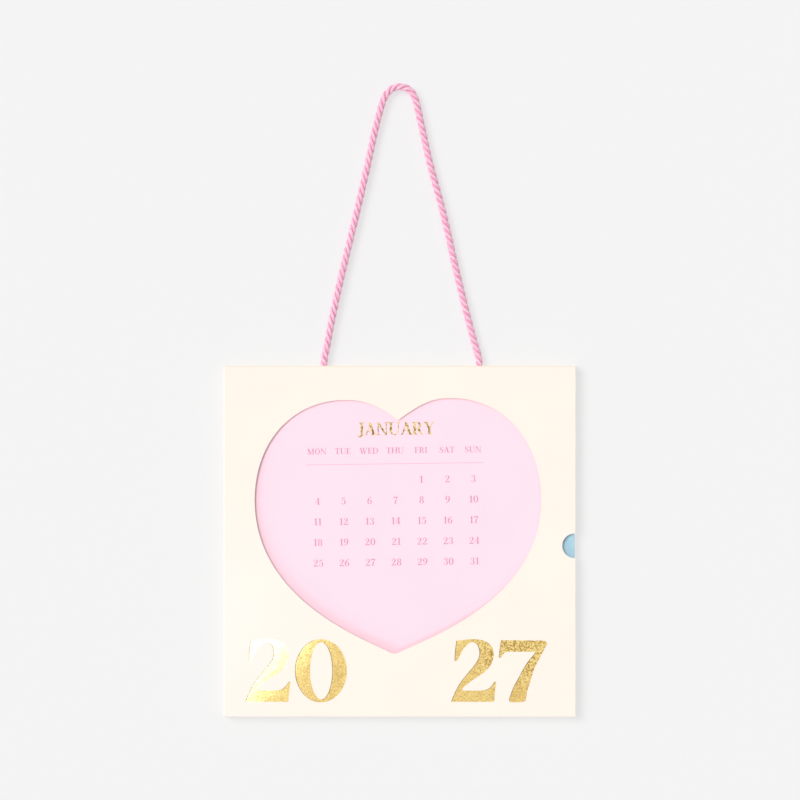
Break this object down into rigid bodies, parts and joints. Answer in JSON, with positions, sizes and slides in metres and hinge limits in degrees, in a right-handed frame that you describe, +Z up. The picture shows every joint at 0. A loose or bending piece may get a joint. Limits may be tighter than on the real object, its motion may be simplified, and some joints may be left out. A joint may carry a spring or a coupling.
{
  "type": "wall calendar",
  "caption": "Wall calendar: a square card sleeve with a heart-shaped window and a thumb notch holds loose month cards that slide out sideways, and hangs on a twisted cord loop.",
  "frame": {"origin": "on the wall plane, at the top of the peg that carries the cord loop, above the sleeve's middle", "axes": "+Z up as it hangs, +X to the viewer's right and the way the cards pull out, +Y into the wall; the front faces -Y"},
  "size_m": [0.2, 0.0073, 0.3611],
  "materials": {
    "sleeve_board": "matte",
    "january_board": "matte",
    "february_board": "matte",
    "march_board": "matte",
    "april_board": "matte",
    "may_board": "matte",
    "june_board": "matte",
    "july_board": "matte",
    "august_board": "matte",
    "september_board": "matte",
    "october_board": "matte",
    "november_board": "matte",
    "december_board": "matte",
    "cord_yarn": "matte",
    "end_bar_plastic": "satin"
  },
  "bodies": {
    "sleeve": {"sleeve": "sleeve_board", "hanging_cord": "cord_yarn", "cord_end_left": "end_bar_plastic", "cord_end_right": "end_bar_plastic"},
    "card_january": {"card_january": "january_board"},
    "card_february": {"card_february": "february_board"},
    "card_march": {"card_march": "march_board"},
    "card_april": {"card_april": "april_board"},
    "card_may": {"card_may": "may_board"},
    "card_june": {"card_june": "june_board"},
    "card_july": {"card_july": "july_board"},
    "card_august": {"card_august": "august_board"},
    "card_september": {"card_september": "september_board"},
    "card_october": {"card_october": "october_board"},
    "card_november": {"card_november": "november_board"},
    "card_december": {"card_december": "december_board"}
  },
  "joints": [
    {"name": "january_slide", "type": "slide", "parent": "sleeve", "child": "card_january", "axis": [1, 0, 0], "range_m": [-0.0007, 0.1885]},
    {"name": "february_slide", "type": "slide", "parent": "sleeve", "child": "card_february", "axis": [1, 0, 0], "range_m": [-0.0094, 0.1798]},
    {"name": "march_slide", "type": "slide", "parent": "sleeve", "child": "card_march", "axis": [1, 0, 0], "range_m": [-0.0094, 0.1798]},
    {"name": "april_slide", "type": "slide", "parent": "sleeve", "child": "card_april", "axis": [1, 0, 0], "range_m": [-0.0094, 0.1798]},
    {"name": "may_slide", "type": "slide", "parent": "sleeve", "child": "card_may", "axis": [1, 0, 0], "range_m": [-0.0094, 0.1798]},
    {"name": "june_slide", "type": "slide", "parent": "sleeve", "child": "card_june", "axis": [1, 0, 0], "range_m": [-0.0094, 0.1798]},
    {"name": "july_slide", "type": "slide", "parent": "sleeve", "child": "card_july", "axis": [1, 0, 0], "range_m": [-0.0094, 0.1798]},
    {"name": "august_slide", "type": "slide", "parent": "sleeve", "child": "card_august", "axis": [1, 0, 0], "range_m": [-0.0094, 0.1798]},
    {"name": "september_slide", "type": "slide", "parent": "sleeve", "child": "card_september", "axis": [1, 0, 0], "range_m": [-0.0094, 0.1798]},
    {"name": "october_slide", "type": "slide", "parent": "sleeve", "child": "card_october", "axis": [1, 0, 0], "range_m": [-0.0094, 0.1798]},
    {"name": "november_slide", "type": "slide", "parent": "sleeve", "child": "card_november", "axis": [1, 0, 0], "range_m": [-0.0094, 0.1798]},
    {"name": "december_slide", "type": "slide", "parent": "sleeve", "child": "card_december", "axis": [1, 0, 0], "range_m": [-0.0094, 0.1798]}
  ]
}
